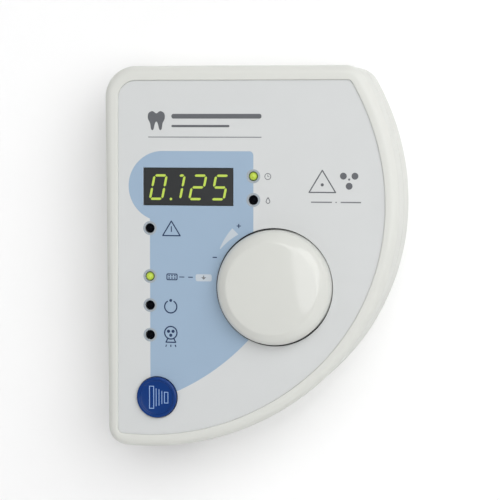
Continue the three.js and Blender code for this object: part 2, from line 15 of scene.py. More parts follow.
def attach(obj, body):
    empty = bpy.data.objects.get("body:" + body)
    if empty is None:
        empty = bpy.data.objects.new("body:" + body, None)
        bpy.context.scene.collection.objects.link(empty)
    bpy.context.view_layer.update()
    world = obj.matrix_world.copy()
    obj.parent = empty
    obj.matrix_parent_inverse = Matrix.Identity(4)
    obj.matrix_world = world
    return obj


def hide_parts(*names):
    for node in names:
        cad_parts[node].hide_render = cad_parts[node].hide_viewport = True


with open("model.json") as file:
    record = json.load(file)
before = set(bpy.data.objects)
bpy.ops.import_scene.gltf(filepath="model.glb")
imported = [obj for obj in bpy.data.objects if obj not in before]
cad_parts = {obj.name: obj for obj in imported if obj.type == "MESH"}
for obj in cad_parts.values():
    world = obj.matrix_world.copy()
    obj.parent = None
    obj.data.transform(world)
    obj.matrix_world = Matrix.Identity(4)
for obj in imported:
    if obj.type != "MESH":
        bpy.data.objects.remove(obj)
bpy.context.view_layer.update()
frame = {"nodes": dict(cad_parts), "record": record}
MM = 0.001

# ---------------------------------------------------------------- camera


def look(azimuth, elevation):
    """Unit vector from the object towards a place round it."""
    a, e = math.radians(azimuth), math.radians(elevation)
    return Vector((math.sin(a) * math.cos(e), -math.cos(a) * math.cos(e), math.sin(e)))


VIEW_AZIMUTH, VIEW_ELEVATION = 11.7, 4.0
VIEW_CENTRE, VIEW_DISTANCE = (1.7, -49.0, 1.75), 1.15  # the distance is in metres


def make_camera():
    data = bpy.data.cameras.new("camera")
    data.sensor_width = 36
    data.lens = 145.2
    data.shift_x = -0.006
    data.shift_y = 0.012
    camera = bpy.data.objects.new("camera", data)
    bpy.context.scene.collection.objects.link(camera)
    back = look(VIEW_AZIMUTH, VIEW_ELEVATION)
    camera.location = Vector(VIEW_CENTRE) * MM + back * VIEW_DISTANCE
    camera.rotation_mode = "QUATERNION"
    camera.rotation_quaternion = (-back).to_track_quat("-Z", "Y")
    bpy.context.scene.camera = camera


make_camera()

# ---------------------------------------------------------------- dimensions, as in the CAD

LEFT, RIGHT, TOP, WIDEST_Z = -85.9, 85.3, 110.1, 31.1
UPPER_R, SIDE_R, SWEEP, BOTTOM_R = 145, 136.5, math.radians(47.5), 154.5
TOP_LEFT_R, TOP_RIGHT_R, RECESS_RIGHT_R, LOW_LEFT_R, LEAN = 18, 15, 11, 11, 1.2
WALL, DRAFT, REAR_DRAFT = 2.4, 0.55, 0.75
RIM_ROUND, RIM_WIDTH, FILM_INSET, RECESS_DROP = 5, 7.75, 7.8, 0.6
RECESS_SHIFT_TOP, RECESS_SHIFT_LOW = 0.7, -0.2
CREST, RECESS_FLOOR, FILM, PARTING = -50, -48.2, -49, -23
DISPLAY = (-36.2, 41, 52.4, 21.2)
LEDS = {
    "seconds": (1.9, 47.2), "dose": (1.9, 33.7), "fault": (-58.9, 17),
    "mode": (-58.9, -10.7), "ready": (-58.9, -27.5), "exposure": (-58.9, -44.7),
}
LIT = {"seconds", "mode"}
KNOB, KNOB_R, WELL_R = (14.7, -15.8), 33.0, 33.65
BUTTON, BUTTON_R = (-54.9, -80.9), 11.8
CASE_POSTS = [(-73.5, 98), (50, 100), (46, -50.7), (-73.6, -98.4)]
BOARD_POSTS = [(-68, 84), (40, 84), (58, -20), (-33, -92)]
POWER_POSTS = [(-61, 81), (35, 81), (35, -19), (-61, -19)]
KEYHOLES = [(-45, 95), (25, 95)]
CABLE, FIXING = (-5, -62), (-20, -92)
SWITCH = (-57.5, -11.5)
SWITCH_HALF_X, SWITCH_HALF_Y = 9.9, 6.9
LED_HOLE_R, HALO_R, WINDOW_GAP, BUTTON_GAP = 2.8, 4.0, 0.3, 0.4
TOOL_FRONT, BOSS_ROOT = -55, -46.5  # in front of the whole case; inside the front wall

# ---------------------------------------------------------------- materials


def linear(rgb):
    return tuple(
        c / 12.92 if c <= 0.04045 else ((c + 0.055) / 1.055) ** 2.4 for c in (v / 255 for v in rgb)
    ) + (1.0,)


def new_material(name):
    made = bpy.data.materials.new(name)
    made.use_nodes = True
    nodes, links = made.node_tree.nodes, made.node_tree.links
    return made, nodes, links, nodes["Principled BSDF"]


def noise(nodes, links, size_mm, detail=2.0):
    """Noise whose lumps are about size_mm across."""
    place = nodes.new("ShaderNodeTexCoord")
    made = nodes.new("ShaderNodeTexNoise")
    made.inputs["Scale"].default_value = 1000.0 / size_mm
    made.inputs["Detail"].default_value = detail
    links.new(place.outputs["Object"], made.inputs["Vector"])
    return made.outputs["Fac"]


def spread(nodes, links, source, low, high):
    made = nodes.new("ShaderNodeMapRange")
    made.inputs["From Min"].default_value = 0.3
    made.inputs["From Max"].default_value = 0.7
    made.inputs["To Min"].default_value = low
    made.inputs["To Max"].default_value = high
    links.new(source, made.inputs["Value"])
    return made.outputs["Result"]


def finish(
    name, rgb, rough, grain=0.35, relief=0.05, mottle=0.02, metal=0.0, shine=0.5, drift=18.0
):
    """A moulded, painted or metal surface: slow colour drift, uneven gloss and a fine grain.

    grain and drift are lump sizes and relief a height, all in millimetres.
    """
    made, nodes, links, shader = new_material(name)
    shader.inputs["Metallic"].default_value = metal
    shader.inputs["Specular IOR Level"].default_value = shine
    slow = noise(nodes, links, drift, 3.0)
    blend = nodes.new("ShaderNodeMix")
    blend.data_type = "RGBA"
    tone = linear(rgb)
    blend.inputs["A"].default_value = tuple(c * (1 - mottle) for c in tone[:3]) + (1,)
    blend.inputs["B"].default_value = tuple(min(1, c * (1 + mottle)) for c in tone[:3]) + (1,)
    links.new(slow, blend.inputs["Factor"])
    links.new(blend.outputs["Result"], shader.inputs["Base Color"])
    fine = noise(nodes, links, grain, 2.0)
    links.new(spread(nodes, links, fine, rough - 0.04, rough + 0.04), shader.inputs["Roughness"])
    bump = nodes.new("ShaderNodeBump")
    bump.inputs["Strength"].default_value = 1.0
    bump.inputs["Distance"].default_value = relief * MM
    links.new(fine, bump.inputs["Height"])
    links.new(bump.outputs["Normal"], shader.inputs["Normal"])
    return made


def glow(name, stops, reach, strength, rough=0.2):
    """A lens that shines, with its colour set by the distance from the piece's own axis."""
    made, nodes, links, shader = new_material(name)
    place = nodes.new("ShaderNodeTexCoord")
    flat = nodes.new("ShaderNodeVectorMath")
    flat.operation = "MULTIPLY"
    flat.inputs[1].default_value = (1000 / reach, 0, 1000 / reach)
    length = nodes.new("ShaderNodeVectorMath")
    length.operation = "LENGTH"
    ramp = nodes.new("ShaderNodeValToRGB")
    links.new(place.outputs["Object"], flat.inputs[0])
    links.new(flat.outputs["Vector"], length.inputs[0])
    links.new(length.outputs["Value"], ramp.inputs["Fac"])
    while len(ramp.color_ramp.elements) < len(stops):
        ramp.color_ramp.elements.new(0.5)
    for element, (position, rgb) in zip(ramp.color_ramp.elements, stops):
        element.position = position
        element.color = linear(rgb)
    links.new(ramp.outputs["Color"], shader.inputs["Base Color"])
    links.new(ramp.outputs["Color"], shader.inputs["Emission Color"])
    shader.inputs["Emission Strength"].default_value = strength
    gloss = spread(nodes, links, noise(nodes, links, 0.8), rough, rough + 0.08)
    links.new(gloss, shader.inputs["Roughness"])
    return made


def ink(name, rgb):
    return finish(name, rgb, 0.45, grain=0.4, relief=0.006, shine=0.35)


HOUSING = finish("moulded_housing", (205, 206, 201), 0.42, grain=0.5, relief=0.012, mottle=0.012)
FILM_GREY = finish(
    "printed_film", (199, 201, 201), 0.42, grain=0.4, relief=0.008, mottle=0.01, shine=0.35
)
FILM_BLUE = finish(
    "film_blue", (147, 168, 189), 0.42, grain=0.4, relief=0.008, mottle=0.015, shine=0.35
)
INK_NAVY = ink("ink_navy", (20, 44, 80))
INK_GREY = ink("ink_grey", (92, 94, 98))
INK_SOFT = ink("ink_soft_grey", (112, 114, 118))
INK_PALE = ink("ink_pale", (184, 192, 199))
INK_HALO = ink("ink_halo", (151, 160, 167))
SMOKED = finish("smoked_window", (34, 36, 37), 0.32, grain=0.6, relief=0.003, mottle=0.05)
KNOB_SKIN = finish("knob_moulding", (204, 205, 200), 0.07, grain=1.6, relief=0.001, mottle=0.01)
BUTTON_SKIN = finish(
    "button_moulding", (9, 50, 113), 0.2, grain=0.7, relief=0.004, mottle=0.06, shine=0.3
)
INK_BUTTON = finish("ink_button", (142, 172, 214), 0.4, grain=0.4, relief=0.006)
LENS_DARK = finish(
    "lens_dark", (2, 3, 8), 0.4, grain=1.0, relief=0.004, mottle=0.2, shine=0.04
)
LENS_LIT = glow(
    "lens_lit",
    [(0.0, (152, 170, 58)), (0.74, (148, 168, 52)), (0.88, (96, 112, 48)), (1.0, (78, 94, 46))],
    2.5, 0.5,
)
DIGIT = glow("digit_segments", [(0.0, (160, 180, 70)), (1.0, (152, 172, 64))], 40.0, 0.5, 0.35)
BLACK = finish("black_moulding", (26, 26, 28), 0.42, grain=0.5, relief=0.02, mottle=0.08)
# also used for the dark ring round the knob, which is painted shade
RUBBER_AND_PAINTED_SHADE = finish("grommet_rubber_and_painted_shade", (30, 30, 30), 0.7, grain=0.8, relief=0.04, mottle=0.12)
WHITE_MARK = finish("white_mark", (225, 225, 222), 0.5, grain=0.4, relief=0.006)

SLOT_LOOKS = {
    "housing": HOUSING, "overlay": FILM_GREY, "smoked": SMOKED, "black_plastic": BLACK,
    "lamp_lit": LENS_LIT, "lamp_dark": LENS_DARK, "knob": KNOB_SKIN, "button": BUTTON_SKIN,
    "rubber": RUBBER_AND_PAINTED_SHADE,
    "nylon": finish("nylon", (228, 224, 210), 0.5, grain=0.8, relief=0.02),
    "board": finish("board_mask", (26, 98, 60), 0.35, grain=1.5, relief=0.02, mottle=0.12, drift=6),
    "brass": finish("turned_brass", (196, 164, 92), 0.28, grain=0.3, relief=0.01, metal=1.0),
    "steel": finish(
        "zinc_plate", (190, 192, 196), 0.3, grain=0.6, relief=0.01, mottle=0.06, metal=1.0, drift=3
    ),
    "core": finish(
        "varnished_core", (96, 92, 88), 0.4, grain=0.5, relief=0.05, mottle=0.15, metal=0.7, drift=2
    ),
    "copper": finish(
        "winding_tape", (186, 112, 62), 0.4, grain=0.6, relief=0.06, mottle=0.15, metal=0.4, drift=2
    ),
    "relay": finish("relay_cover", (42, 104, 168), 0.3, grain=0.8, relief=0.01),
    "can": finish("can_sleeve", (34, 44, 70), 0.3, grain=0.8, relief=0.01),
    "terminal": finish("terminal_green", (52, 128, 78), 0.45, grain=0.5, relief=0.02),
    "ribbon": finish("ribbon_jacket", (176, 180, 186), 0.5, grain=0.9, relief=0.05),
    "glass": finish("fuse_glass", (206, 218, 218), 0.1, grain=2.0, relief=0.002),
    "lead_brown": finish("lead_brown", (104, 62, 36), 0.45, grain=0.6, relief=0.02),
    "lead_blue": finish("lead_blue", (48, 88, 168), 0.45, grain=0.6, relief=0.02),
}

# ---------------------------------------------------------------- mesh building


def make(name, points, faces, look_, body="case", crease=35, origin=(0, 0), slot=None):
    """A piece from points in millimetres. origin is the (x, z) of its own axis."""
    shift = Vector((origin[0], 0, origin[1]))
    mesh = bpy.data.meshes.new(name)
    mesh.from_pydata([(Vector(p) - shift) * MM for p in points], [], faces)
    mesh.validate()
    mesh.materials.append(look_)
    piece = bpy.data.objects.new(name, mesh)
    piece.location = shift * MM
    bpy.context.scene.collection.objects.link(piece)
    smooth(piece, crease)
    bpy.context.view_layer.update()
    if body:
        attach(piece, body)
    return piece


def smooth(piece, crease):
    piece.data.polygons.foreach_set("use_smooth", [True] * len(piece.data.polygons))
    piece.data.set_sharp_from_angle(angle=math.radians(crease))


def arc(cx, cz, radius, start, end, steps):
    """Points of an arc; the angles are in radians."""
    return [
        (cx + radius * math.cos(start + (end - start) * i / steps),
         cz + radius * math.sin(start + (end - start) * i / steps))
        for i in range(steps + 1)
    ]


def arc_through(first, middle, last, steps):
    (ax, az), (bx, bz), (cx, cz) = first, middle, last
    a2, b2, c2 = ax * ax + az * az, bx * bx + bz * bz, cx * cx + cz * cz
    twice = 2 * (ax * (bz - cz) + bx * (cz - az) + cx * (az - bz))
    ux = (a2 * (bz - cz) + b2 * (cz - az) + c2 * (az - bz)) / twice
    uz = (a2 * (cx - bx) + b2 * (ax - cx) + c2 * (bx - ax)) / twice
    start, end = math.atan2(az - uz, ax - ux), math.atan2(cz - uz, cx - ux)
    return arc(ux, uz, math.hypot(ax - ux, az - uz), start, end, steps)


def disc(centre, radius, steps=64):
    return arc(*centre, radius, 0, 2 * math.pi, steps)[:-1]


def rectangle(x0, z0, x1, z1):
    return [(x0, z0), (x1, z0), (x1, z1), (x0, z1)]


def rounded(x0, z0, x1, z1, radius, steps=8):
    corners = [(x1 - radius, z0 + radius, -90), (x1 - radius, z1 - radius, 0),
               (x0 + radius, z1 - radius, 90), (x0 + radius, z0 + radius, 180)]
    return [p for x, z, a in corners
            for p in arc(x, z, radius, math.radians(a), math.radians(a + 90), steps)]


def case_outline(inset, in_recess=False):
    """The case's outline moved inwards, anticlockwise: two straight edges and three tangent arcs."""
    upper_x, side_x = RIGHT - UPPER_R, RIGHT - SIDE_R
    bottom_x = side_x + (SIDE_R - BOTTOM_R) * math.cos(SWEEP)
    bottom_z = WIDEST_Z - (SIDE_R - BOTTOM_R) * math.sin(SWEEP)
    right_r = RECESS_RIGHT_R if in_recess else TOP_RIGHT_R
    right_z = TOP - right_r
    right_x = upper_x + math.sqrt((UPPER_R - right_r) ** 2 - (right_z - WIDEST_Z) ** 2)
    left_x = LEFT + TOP_LEFT_R + (RECESS_SHIFT_TOP if in_recess else 0)
    low_x = LEFT + LOW_LEFT_R + (RECESS_SHIFT_LOW if in_recess else LEAN)
    low_z = bottom_z - math.sqrt((BOTTOM_R - LOW_LEFT_R) ** 2 - (low_x - bottom_x) ** 2)
    upper = math.atan2(right_z - WIDEST_Z, right_x - upper_x)
    low = math.atan2(low_z - bottom_z, low_x - bottom_x)
    drop = RECESS_DROP if in_recess else 0
    points = [
        *arc(left_x, TOP - TOP_LEFT_R, TOP_LEFT_R - inset, math.pi, math.pi / 2, 18),
        *arc(right_x, right_z, right_r - inset, math.pi / 2, upper, 12)[:-1],
        *arc(upper_x, WIDEST_Z, UPPER_R - inset, upper, 0, 30)[:-1],
        *arc(side_x, WIDEST_Z, SIDE_R - inset, 0, -SWEEP, 40)[:-1],
        *arc(bottom_x, bottom_z, BOTTOM_R - inset, -SWEEP, low, 44)[:-1],
        *arc(low_x, low_z, LOW_LEFT_R - inset, low, -math.pi, 16),
    ]
    return [(x, z - drop) for x, z in reversed(points)]


def loft(name, rings, look_, **more):
    """A closed skin through [inset, y, in_recess] rings of the case's outline."""
    loops = [case_outline(r[0], len(r) > 2 and r[2]) for r in rings]
    count = len(loops[0])
    points = [(x, ring[1], z) for ring, loop in zip(rings, loops) for x, z in loop]
    faces = []
    for start in range(0, (len(rings) - 1) * count, count):
        for i in range(count):
            j = (i + 1) % count
            faces.append((start + i, start + count + i, start + count + j, start + j))
    faces.append(tuple(range(count)))
    faces.append(tuple(reversed(range((len(rings) - 1) * count, len(rings) * count))))
    return make(name, points, faces, look_, **more)


def turned(name, profile, centre, look_, sides=96, **more):
    """Turns a profile of (radius, y) points about an axis along Y.

    A closed profile ends where it starts.
    """
    closed = profile[0] == profile[-1]
    rows = profile[:-1] if closed else profile
    points, index = [], []
    for radius, y in rows:
        if radius == 0:
            index.append([len(points)] * sides)
            points.append((centre[0], y, centre[1]))
        else:
            index.append(list(range(len(points), len(points) + sides)))
            for i in range(sides):
                turn = 2 * math.pi * i / sides
                points.append((centre[0] + radius * math.cos(turn), y,
                               centre[1] + radius * math.sin(turn)))
    faces = []
    spans = list(zip(index, index[1:])) + ([(index[-1], index[0])] if closed else [])
    for a, b in spans:
        for i in range(sides):
            j = (i + 1) % sides
            corners = [b[i], b[j], a[j], a[i]]
            faces.append(tuple(dict.fromkeys(corners)))
    return make(name, points, faces, look_, origin=centre, **more)


def anticlockwise(loop):
    area = sum(a[0] * b[1] - b[0] * a[1] for a, b in zip(loop, loop[1:] + loop[:1]))
    return loop if area > 0 else loop[::-1]


def fill(shapes, holes=()):
    """Points and triangles of the area inside the shapes and outside the holes."""
    loops = [anticlockwise(list(s)) for s in [*shapes, *holes]]
    points = [Vector(p) for loop in loops for p in loop]
    starts = [sum(len(s) for s in loops[:i]) for i in range(len(loops))]
    faces = [list(range(s, s + len(loop))) for s, loop in zip(starts, loops)]
    verts, _, triangles, _, _, owners = delaunay_2d_cdt(points, [], faces, 1, 1e-4)
    kept = [
        t for t, owner in zip(triangles, owners)
        if any(o < len(shapes) for o in owner) and not any(o >= len(shapes) for o in owner)
    ]
    used = sorted({v for t in kept for v in t})
    renumber = {v: i for i, v in enumerate(used)}
    return [tuple(verts[v]) for v in used], [tuple(renumber[v] for v in t) for t in kept]


def sheet(name, shapes, holes, front, rear, look_, **more):
    """A closed flat piece between two depths. front may be a function of (x, z)."""
    flat, triangles = fill(shapes, holes)
    face = front if callable(front) else lambda x, z: front
    back = rear if callable(rear) else lambda x, z: rear
    points = [(x, face(x, z), z) for x, z in flat] + [(x, back(x, z), z) for x, z in flat]
    count = len(flat)
    edges = {(t[i], t[(i + 1) % 3]) for t in triangles for i in range(3)}
    faces = list(triangles) + [tuple(v + count for v in reversed(t)) for t in triangles]
    faces += [(b, a, a + count, b + count) for a, b in edges if (b, a) not in edges]
    return make(name, points, faces, look_, **more)


def joined(pieces):
    """One temporary object holding the meshes of all the tools."""
    points, faces = [], []
    for piece in pieces:
        start = len(points)
        points += [piece.matrix_world @ v.co for v in piece.data.vertices]
        faces += [tuple(start + v for v in p.vertices) for p in piece.data.polygons]
        bpy.data.objects.remove(piece)
    mesh = bpy.data.meshes.new("tool")
    mesh.from_pydata(points, [], faces)
    tool = bpy.data.objects.new("tool", mesh)
    bpy.context.scene.collection.objects.link(tool)
    return tool


def combine(piece, tools, operation, crease=35):
    """Applies one exact boolean with tools that don't touch each other."""
    tool = joined(tools)
    modifier = piece.modifiers.new("combine", "BOOLEAN")
    modifier.operation = operation
    modifier.solver = "EXACT"
    modifier.object = tool
    graph = bpy.context.evaluated_depsgraph_get()
    mesh = bpy.data.meshes.new_from_object(piece.evaluated_get(graph))
    piece.modifiers.clear()
    piece.data = mesh
    bpy.data.objects.remove(tool)
    smooth(piece, crease)


def rod(radius, y0, y1, centre, sides=48):
    profile = [(0, y0), (radius, y0), (radius, y1), (0, y1)]
    return turned("tool", profile, centre, HOUSING, sides, body=None)


def stepped(y0, radius0, step, radius1, y1, centre, sides=48):
    """Two rods end to end as one tool: radius0 as far as step, then radius1."""
    profile = [(0, y0), (radius0, y0), (radius0, step), (radius1, step), (radius1, y1), (0, y1)]
    return turned("tool", profile, centre, HOUSING, sides, body=None)


def block(x0, x1, y0, y1, z0, z1):
    """A box-shaped tool."""
    return sheet("tool", [rectangle(x0, z0, x1, z1)], [], y0, y1, HOUSING, body=None)


def curve_through(points, steps=8):
    """A closed smooth curve through points."""
    count, out = len(points), []
    for i in range(count):
        p0, p1, p2, p3 = (Vector(points[(i + k - 1) % count]) for k in range(4))
        for s in range(steps):
            t = s / steps
            square = 2 * p0 - 5 * p1 + 4 * p2 - p3
            cube = 3 * p1 - p0 - 3 * p2 + p3
            out.append(tuple(0.5 * (2 * p1 + (p2 - p0) * t + square * t * t + cube * t ** 3)))
    return out


# ---------------------------------------------------------------- case


def display_hole(clearance):
    x, z, width, height = DISPLAY
    return (x - width / 2 - clearance, x + width / 2 + clearance,
            z - height / 2 - clearance, z + height / 2 + clearance)


def quarter(cx, cy, radius, start, end, steps):
    return arc(cx, cy, radius, math.radians(start), math.radians(end), steps)


def front_shell():
    crest_edge = quarter(RIM_WIDTH - 0.6, CREST + 0.6, 0.6, 0, -90, 6)
    rim = quarter(RIM_ROUND, CREST + RIM_ROUND, RIM_ROUND, -90, -180, 16)
    rings = [
        [RIM_WIDTH, RECESS_FLOOR, True],
        *[[r, y, True] for r, y in crest_edge],
        *[[r, y] for r, y in rim],
        [DRAFT, PARTING - 0.6],
        [DRAFT + 0.4, PARTING - 0.2],
        [DRAFT + WALL, PARTING - 0.2],
        [WALL, -45],
        [WALL + 1, -46],
    ]
    shell = loft("front_shell", rings, HOUSING, slot="housing")
    bosses = [rod(3.8, BOSS_ROOT, PARTING, c, 32) for c in CASE_POSTS]
    bosses += [rod(3.4, BOSS_ROOT, -32.3, c, 32) for c in BOARD_POSTS]
    bosses.append(rod(WELL_R + WALL, BOSS_ROOT, -38.6, KNOB, 96))
    bosses.append(rod(15.2, BOSS_ROOT, -42.6, BUTTON, 64))
    combine(shell, bosses, "UNION")
    holes = [rod(1.75, -40, 0, c, 24) for c in CASE_POSTS]
    holes += [rod(1.5, -42, 0, c, 24) for c in BOARD_POSTS]
    holes += [rod(LED_HOLE_R, TOOL_FRONT, -40, c, 48) for c in LEDS.values()]
    holes.append(stepped(TOOL_FRONT, WELL_R, -41, 4.8, -30, KNOB, 160))
    holes.append(stepped(TOOL_FRONT, BUTTON_R + BUTTON_GAP, -46, 13.5, -40, BUTTON, 96))
    x0, x1, z0, z1 = display_hole(WINDOW_GAP)
    holes.append(block(x0, x1, TOOL_FRONT, -40, z0, z1))
    combine(shell, holes, "DIFFERENCE")
    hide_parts("front_housing")


def keyhole(centre):
    """The tool for a round hole with a narrow slot above it."""
    x, z = centre
    slot = [rectangle(x - 2.3, z, x + 2.3, z + 7), disc((x, z + 7), 2.3, 48)]
    return sheet("tool", [disc(centre, 4.2, 64), *slot], [], -5, 5, HOUSING, body=None)


def rear_shell():
    lip = [[3.6, -22.5], [3.6, -25.8], [3.8, -26], [5.2, -26]]
    edge = quarter(REAR_DRAFT + 1.2, -1.2, 1.2, 90, 180, 6)
    rings = [
        *[[r, y] for r, y in edge],
        [DRAFT, -22.0], [DRAFT + 0.45, -22.5], *lip, [5.2, -21.5],
        [DRAFT + WALL, -19.5], [REAR_DRAFT + WALL, -2.5],
    ]
    shell = loft("rear_shell", rings, HOUSING, slot="housing")
    posts = [rod(5, -22.3, -2, c, 48) for c in CASE_POSTS]
    posts += [rod(3.4, -8, -2, c, 32) for c in POWER_POSTS]
    combine(shell, posts, "UNION")
    holes = [stepped(-30, 1.75, -12, 3.3, 5, c) for c in CASE_POSTS]
    holes += [rod(1.4, -20, -1.2, c, 24) for c in POWER_POSTS]
    holes += [keyhole(c) for c in KEYHOLES]
    holes += [rod(2.6, -5, 5, FIXING, 48), stepped(-5, 10, -1.1, 12.7, 5, CABLE, 64)]
    x, y = SWITCH
    holes.append(block(x - SWITCH_HALF_X, x + SWITCH_HALF_X, y - SWITCH_HALF_Y, y + SWITCH_HALF_Y,
                       -120, -100))
    combine(shell, holes, "DIFFERENCE")
    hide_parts("rear_housing")


front_shell()
rear_shell()

# ---------------------------------------------------------------- film and print

x0, x1, z0, z1 = display_hole(WINDOW_GAP)
WINDOW_HOLE = rectangle(x0, z0, x1, z1)
LED_HOLES = [disc(c, LED_HOLE_R, 40) for c in LEDS.values()]
HALOS = [disc(c, HALO_R, 48) for c in LEDS.values()]
WELL_HOLE = disc((KNOB[0] - 0.6, KNOB[1] - 0.2), WELL_R + 0.2, 160)  # cut a little off centre, so more of the dark ring under the film shows on the left and below: painted contact shadow of the knob
BUTTON_HOLE = disc(BUTTON, BUTTON_R + BUTTON_GAP, 96)

film = sheet("front_film", [case_outline(FILM_INSET, True)],
             [*LED_HOLES, WINDOW_HOLE, WELL_HOLE, BUTTON_HOLE],
             FILM, RECESS_FLOOR - 0.1, FILM_GREY, slot="overlay")
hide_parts("front_overlay")


def blue_field():
    bulge = arc(-51.3, 41.2, 20.2, math.radians(90), math.radians(202.1 + 45.6), 40)
    bulge = [p for p in bulge if not (p[1] < 41 and p[0] > -58.9)]
    sweep = [(-54.9, -80.9), *arc_through((-43.4, -77.3), (-21.0, -64.3), (1.5, -43.8), 24)]
    corner = arc(-0.4, 59.1, 2.3, 0, math.pi / 2, 10)
    field = [*corner, *bulge, (-58.9, 22.4), (-58.9, -75), *sweep, (1.9, -30)]
    sheet("print_blue_field", [field], [*HALOS, WINDOW_HOLE, WELL_HOLE, BUTTON_HOLE],
          FILM - 0.02, FILM + 0.05, FILM_BLUE, slot="overlay")


def printed(name, shapes, look_, holes=(), level=2):
    """Print on the film; a higher level lies on top of a lower one."""
    sheet(name, shapes, list(holes), FILM - 0.02 * level, FILM + 0.02, look_, slot="overlay")


def ring(centre, outer, inner, steps=48):
    return disc(centre, outer, steps), disc(centre, inner, steps)


def stroke(points, width, closed=False):
    """A line of constant width with square ends, as overlapping quads and discs."""
    shapes = []
    pairs = list(zip(points, points[1:])) + ([(points[-1], points[0])] if closed else [])
    for a, b in pairs:
        a, b = Vector(a), Vector(b)
        side = (b - a).orthogonal().normalized() * width / 2
        shapes.append([tuple(a + side), tuple(b + side), tuple(b - side), tuple(a - side)])
    for p in points if closed else points[1:-1]:
        shapes.append(disc(p, width / 2, 12))
    return shapes


blue_field()
printed("print_lamp_halos", HALOS, INK_HALO, LED_HOLES, level=1)

knob_x, knob_z = KNOB
outer_edge = [(38.9 + 2.7 * i / 8, 146.4 - 19.4 * i / 8) for i in range(9)]
inner_edge = [(36.7 + 1.7 * (1 - i / 8), 126 + 20.2 * (1 - i / 8)) for i in range(8, -1, -1)]
wedge = [(knob_x + r * math.cos(math.radians(a)), knob_z + r * math.sin(math.radians(a)))
         for r, a in outer_edge + inner_edge]
printed("print_level_wedge", [wedge], INK_PALE)

minus = rectangle(-21.9, 0.35, -19.4, 0.95)
plus = [rectangle(-7.8, 18.5, -5.4, 19.05), rectangle(-6.9, 17.6, -6.3, 19.95)]
printed("print_minus_and_plus", [minus, *plus], INK_NAVY)

triangle = [(-46.2, 21.2), (-51.3, 12.8), (-41.0, 12.8)]
printed("print_fault_triangle",
        [*stroke(triangle, 0.7, True), rectangle(-46.5, 15.0, -45.9, 18.2)], INK_NAVY)

cx, cz = -46.7, -28.2
open_ring = arc(cx, cz, 3.6, math.radians(118), math.radians(422), 40)
printed("print_ready_ring", [*stroke(open_ring, 0.75), disc((cx, cz + 3.6), 0.85, 20)], INK_NAVY)

cx, cz = -46.7, -43.3
beam = stroke(arc(cx, cz, 3.65, 0, 2 * math.pi, 44), 0.75)
shoulders = [(-1.8, -3.4), (-2.9, -5.5), (2.9, -5.5), (1.8, -3.4)]
beam += stroke([(cx + dx, cz + dz) for dx, dz in shoulders], 0.7)
beam += [disc((cx + dx, cz + dz), 0.95, 20) for dx, dz in ((-1.35, 0.85), (1.35, 0.85), (0, -1.45))]
for dx in (-2.6, 0, 2.6):
    beam += stroke([(cx + dx, cz - 6.9), (cx + dx * 1.15, cz - 8.2)], 0.65)
printed("print_exposure_sign", beam, INK_NAVY)

sensor_outer = rounded(-49.2, -12.9, -42.6, -9.0, 0.9)
sensor_inner = rounded(-48.6, -12.3, -43.2, -9.6, 0.5)
printed("print_sensor_frame", [sensor_outer], INK_NAVY, [sensor_inner])
dots = [disc((x, z), 0.45, 14) for x in (-47.6, -45.9, -44.2) for z in (-11.65, -10.25)]
dashes = [rectangle(-41.6, -11.2, -38.6, -10.7), rectangle(-36.3, -11.25, -33.6, -10.7)]
printed("print_sensor_marks", dots + dashes, INK_NAVY)
printed("print_push_pill", [rounded(-31.9, -13.2, -22.5, -9.2, 1.0)], INK_PALE)
push = [[(-27.2, -12.3), (-28.7, -10.9), (-25.7, -10.9)], rectangle(-27.5, -11.0, -26.9, -9.9)]
printed("print_push_arrow", push, INK_SOFT, level=3)

clock_outer, clock_inner = ring((10.3, 47.1), 1.95, 1.5)
printed("print_clock_ring", [clock_outer], INK_SOFT, [clock_inner])
hands = [rectangle(10.1, 46.9, 10.45, 48.2), rectangle(10.1, 46.9, 11.2, 47.25)]
printed("print_clock_hands", hands, INK_SOFT)
drop_outer = curve_through(
    [(10.4, 35.4), (11.7, 33.1), (11.2, 31.9), (10.4, 31.6), (9.6, 31.9), (9.1, 33.1)]
)
drop_inner = curve_through(
    [(10.4, 34.5), (11.2, 33.0), (10.9, 32.3), (10.4, 32.1), (9.9, 32.3), (9.6, 33.0)]
)
printed("print_dose_drop", [drop_outer], INK_SOFT, [drop_inner])

triangle = [(41.65, 50.8), (34.1, 38.3), (49.3, 38.3)]
printed("print_notice_triangle",
        [*stroke(triangle, 0.7, True), disc((41.65, 42.6), 0.9, 24)], INK_GREY)
petals = [disc((57 + dx, 45.7 + dz), 1.95, 36) for dx, dz in ((-3.3, 1.9), (3.3, 1.9), (0, -3.8))]
printed("print_three_dots", [*petals, disc((57, 45.7), 0.6, 20)], INK_GREY)
printed("print_rule_pair", [rectangle(35.2, 32.4, 47.2, 33.1), disc((49.6, 32.75), 0.4, 16),
                            rectangle(52.2, 32.4, 63.8, 33.1)], INK_SOFT)

tooth = curve_through([
    (-54.9, 82.9), (-52.6, 84.2), (-50.3, 83.0), (-49.9, 80.2), (-51.2, 77.2), (-51.8, 73.9),
    (-53.1, 73.6), (-54.0, 76.9), (-54.9, 78.2), (-55.8, 76.9), (-56.7, 73.6), (-58.0, 73.9),
    (-58.6, 77.2), (-59.9, 80.2), (-59.5, 83.0), (-57.2, 84.2),
])
printed("print_tooth_sign", [tooth], INK_GREY)
bars = [rounded(-46.0, 79.9, 6.6, 82.6, 1.2), rounded(-46.0, 75.0, -12.0, 76.3, 0.6)]
printed("print_header_bars", bars, INK_GREY)
printed("print_header_rule", [rectangle(-59.7, 69.1, 6.6, 69.6)], INK_SOFT)

# ---------------------------------------------------------------- display


def segment(ax, az, bx, bz, half=0.68, gap=0.36):
    """A pointed bar from a to b, before the digits' slant."""
    a, b = Vector((ax, az)), Vector((bx, bz))
    along = (b - a).normalized()
    side = along.orthogonal() * half
    a, b = a + along * gap, b - along * gap
    return [tuple(p) for p in (a, a + along * half + side, b - along * half + side, b,
                               b - along * half - side, a + along * half - side)]


